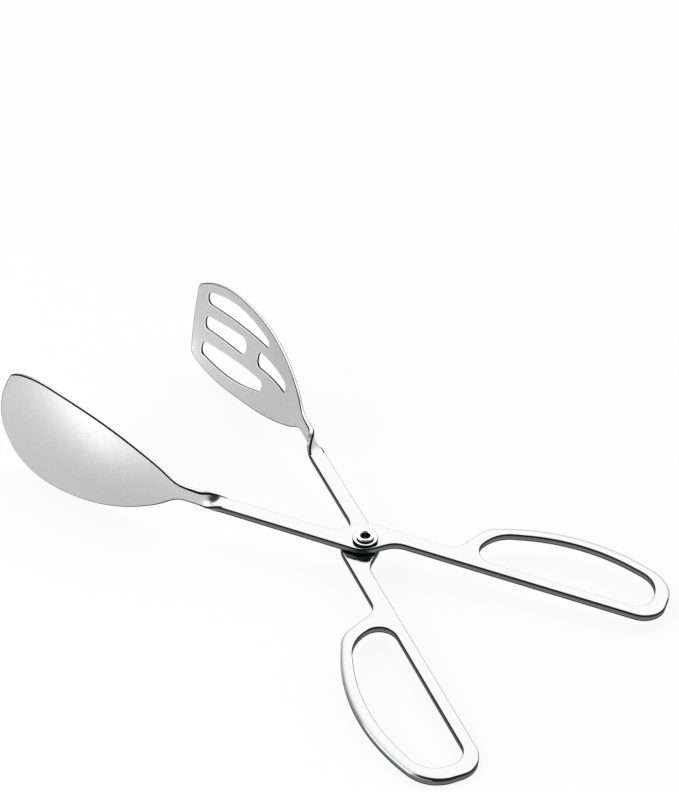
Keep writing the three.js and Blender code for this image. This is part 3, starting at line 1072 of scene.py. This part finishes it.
def turned_piece(name, profile, material):
    """Turns a profile whose ends lie on the axis, or meet each other."""
    angles = np.linspace(0, 2 * math.pi, lathe_steps, endpoint=False)
    ends_meet = profile[0] == profile[-1]
    points = []
    rows = []
    for radius, height in profile[:-1] if ends_meet else profile:
        ring = angles if radius else angles[:1]
        rows.append([len(points) + i % len(ring) for i in range(lathe_steps + 1)])
        points += [(radius * math.cos(a), radius * math.sin(a), height) for a in ring]
    rows += rows[:1] if ends_meet else []
    faces = [
        tuple(dict.fromkeys((below[i], below[i + 1], above[i + 1], above[i])))
        for below, above in zip(rows, rows[1:])
        for i in range(lathe_steps)
    ]
    mesh = bpy.data.meshes.new(name)
    mesh.from_pydata((np.array(points) * mm).tolist(), [], faces)
    turn_faces_out(mesh)
    mesh.transform(pivot_frame)
    mesh.materials.append(material)
    print(name, "has", len(mesh.polygons), "faces")
    return in_scene(name, mesh)


def rivet_profile():
    rim_centre = (rolled_rim_radius + rivet_bore_radius) / 2
    rim_half = (rolled_rim_radius - rivet_bore_radius) / 2
    rim_middle = rim_bottom + rolled_rim_height / 2
    rim = [
        (rim_centre + rim_half * math.cos(a), rim_middle + rolled_rim_height / 2 * math.sin(a))
        for a in np.linspace(-math.pi / 2, math.pi, rim_points)
    ]
    corner = (rivet_head_radius - rivet_head_edge, head_bottom + rivet_head_edge)
    head = quarter(corner, rivet_head_edge, -math.pi / 2)
    shank = [
        (rivet_head_radius, head_top),
        (rivet_shank_radius, head_top),
        (rivet_shank_radius, rim_bottom),
    ]
    bore = [(rivet_bore_radius, rivet_bore_floor), (0, rivet_bore_floor)]
    return [(0, head_bottom)] + head + shank + rim + bore


def washer_profile():
    corner = (washer_radius - washer_edge, washer_top - washer_edge)
    underside = [(bore_radius, washer_bottom), (washer_radius, washer_bottom)]
    bore = [(bore_radius, washer_top), (bore_radius, washer_bottom)]
    return underside + quarter(corner, washer_edge, 0) + bore


rivet = turned_piece("tubular_rivet", rivet_profile(), formed_steel)
washer = turned_piece("plain_washer", washer_profile(), formed_steel)

# %% [markdown]
# ## Dark places of rivet and washer
# The rim of the washer was blanked like the sheet, and the underside of the rivet's rolled rim lies
# in shade. Both get the material of a blanked edge, which turns them near black: painted shade
# under the rolled rim, and on the washer a blanked rim darkened further by painted shade. Faces are
# picked by radius and height, which stay right when a size changes, as their numbers would not.

# %% Edge material with painted shade, and sharp corners
sharp_angle = math.radians(35)


def darken(piece, is_dark):
    """Gives the edge material, with its painted shade, to faces whose radius and height pass a
    test.
    """
    piece.data.materials.append(blanked_edge_and_painted_shade)
    to_flat = pivot_frame.inverted()
    for face in piece.data.polygons:
        centre = to_flat @ face.center / mm
        if is_dark(math.hypot(centre.x, centre.y), centre.z):
            face.material_index = 1


# Painted shade: the washer's blanked rim turns near black.
def on_washer_rim(radius, height):
    return radius > washer_radius - washer_edge


# Painted shade: the faces under the rolled rim turn near black.
def under_rolled_rim(radius, height):
    return radius > rivet_shank_radius and rim_bottom < height < rim_bottom + rim_shade_height


darken(washer, on_washer_rim)
darken(rivet, under_rolled_rim)
for turned_part in (rivet, washer):
    turned_part.data.set_sharp_from_angle(angle=sharp_angle)
    dark = sum(face.material_index for face in turned_part.data.polygons)
    print(turned_part.name, "has", dark, "dark faces")
hand_over(rivet, "pivot_rivet", "slotted_half")
hand_over(washer, "top_washer", "slotted_half")

# %% [markdown]
# ## The floor
# Bright metal shows what is round it. A matt white board takes the soft shadow, and gives walls
# and undersides something light to mirror. To keep the ground white without more light on the
# tongs, most of what camera and mirrors see of the board is a plain white glow. The rest is lit
# board, and that carries the shadow.

# %% Floor
floor_metres = 40.0
glow_share = 0.88
board_white = "#ffffff"
board_roughness = 0.9
board_gloss = 0.1


# To the eye: white paper board without shine.
def white_floor():
    bpy.ops.mesh.primitive_plane_add(size=floor_metres, location=(0, 0, 0))
    floor = bpy.context.object
    floor.name = "floor"
    material = bpy.data.materials.new("matt_white_board")
    material.use_nodes = True
    tree = material.node_tree
    board = tree.nodes["Principled BSDF"]
    board.inputs["Base Color"].default_value = linear(board_white)
    board.inputs["Roughness"].default_value = board_roughness
    board.inputs["Specular IOR Level"].default_value = board_gloss
    ray = add_node(tree, "ShaderNodeLightPath").outputs
    seen = ray["Is Camera Ray"]
    for kind in ("Is Glossy Ray", "Is Transmission Ray"):
        seen = add_node(tree, "ShaderNodeMath", {0: seen, 1: ray[kind]}, operation="MAXIMUM")
    share = add_node(tree, "ShaderNodeMath", {0: seen, 1: glow_share}, operation="MULTIPLY")
    glow = add_node(tree, "ShaderNodeEmission", {"Color": linear(board_white), "Strength": 1.0})
    surface = add_node(tree, "ShaderNodeMixShader", {0: share, 1: board, 2: glow})
    tree.links.new(surface.outputs[0], tree.nodes["Material Output"].inputs["Surface"])
    floor.data.materials.append(material)
    print("The glow is", glow_share, "of what is seen of the floor")


white_floor()

# %% [markdown]
# ## The light
# Polished metal is photographed in a tent of white cloth, and so are the tongs here. The world is
# the tent. It is a little brighter above the far side, which the flat tops of the arms mirror, so
# they turn almost white. In front and high up the tent has an opening, which mirrors as the dark
# lines along rounds and twists. Both are round caps of the sky, given by a direction and half an
# angle. Lamps could do this too, but with hard edges.

# %% Tent
tent_level = 1.45
side_level = 0.87
opening_level = 0.03
tent_axis = Vector((0.3057, -0.2918, 0.9063))
tent_half_angle = math.radians(46)
tent_softness = math.radians(16)
opening_axis = Vector((-0.441, 0.294, 0.848))
opening_half_angle = math.radians(38)
opening_softness = math.radians(6)


def cap(tree, axis, half_angle, border, outside, inside):
    """One value inside a round cap of the sky and another outside, with a soft border."""
    direction = add_node(tree, "ShaderNodeTexCoord").outputs["Generated"]
    towards = {0: direction, 1: axis}
    height = add_node(tree, "ShaderNodeVectorMath", towards, operation="DOT_PRODUCT")
    limits = {
        "Value": height,
        "From Min": math.cos(half_angle + border),
        "From Max": math.cos(half_angle - border),
        "To Min": outside,
        "To Max": inside,
    }
    return add_node(tree, "ShaderNodeMapRange", limits, interpolation_type="SMOOTHSTEP")


def light_tent():
    world = bpy.data.worlds.new("light_tent")
    bpy.context.scene.world = world
    world.use_nodes = True
    tree = world.node_tree
    tent = cap(tree, tent_axis, tent_half_angle, tent_softness, side_level, tent_level)
    opening = cap(tree, opening_axis, opening_half_angle, opening_softness, 1.0, opening_level)
    strength = add_node(tree, "ShaderNodeMath", {0: tent, 1: opening}, operation="MULTIPLY")
    sky = tree.nodes["Background"]
    sky.inputs["Color"].default_value = linear("#ffffff")
    tree.links.new(strength.outputs[0], sky.inputs["Strength"])


light_tent()
print("Tent of", side_level, "with", tent_level, "above and", opening_level, "in its opening")

# %% [markdown]
# ## The soft box
# A soft box stands low on the left, turned to the bowls. It is small and near, so its light falls
# off along the tongs and gives the spoon its soft bright middle. Its sizes are in metres.

# %% Soft box
box_watts = 0.82
box_side = 0.4
box_distance = 0.45
box_target = Vector((0.09, 0.045, 0.02))
box_direction = Vector((0.2225, 0.913, 0.342))


def soft_box():
    lamp = bpy.data.lights.new("soft_box", "AREA")
    lamp.shape = "SQUARE"
    lamp.size = box_side
    lamp.energy = box_watts
    holder = in_scene("soft_box", lamp)
    holder.location = box_target + box_direction * box_distance
    holder.rotation_euler = (-box_direction).to_track_quat("-Z", "Y").to_euler()
    print("Soft box at", [round(value, 3) for value in holder.location])


soft_box()

# %% [markdown]
# ## The camera
# The picture was measured in pixels: how far away the pivot is follows from how many pixels a
# millimetre takes there, and the view's direction from how the arms lie in the frame.

# %% Camera
frame_width_px = 679
frame_height_px = 792
focal_px = 1550.0
pivot_px = (365.3, 539.4)
px_per_mm = 2.787
camera_pitch = math.radians(36.85)
arms_heading = math.radians(133.68)
sensor_width = 36
nearest_metres = 0.01


def photo_camera():
    right = Vector((math.cos(arms_heading), -math.sin(arms_heading), 0))
    away = Vector((math.sin(arms_heading), math.cos(arms_heading), 0))
    above = Vector((0, 0, 1))
    upward = away * math.sin(camera_pitch) + above * math.cos(camera_pitch)
    backward = above * math.sin(camera_pitch) - away * math.cos(camera_pitch)
    aside = (pivot_px[0] - frame_width_px / 2) / px_per_mm
    below = (pivot_px[1] - frame_height_px / 2) / px_per_mm
    distance = focal_px / px_per_mm
    place = above * upper_top - right * aside + upward * below + backward * distance
    turn = Matrix([[right[i], upward[i], backward[i]] for i in range(3)]).to_4x4()
    data = bpy.data.cameras.new("photo_camera")
    data.sensor_width = sensor_width
    data.lens = focal_px * sensor_width / frame_height_px
    data.clip_start = nearest_metres
    camera = in_scene("photo_camera", data)
    camera.matrix_world = pivot_frame @ Matrix.Translation(place * mm) @ turn
    bpy.context.scene.camera = camera
    print("Camera at", [round(value, 4) for value in camera.matrix_world.translation])


photo_camera()
bpy.context.scene.view_settings.view_transform = "Standard"
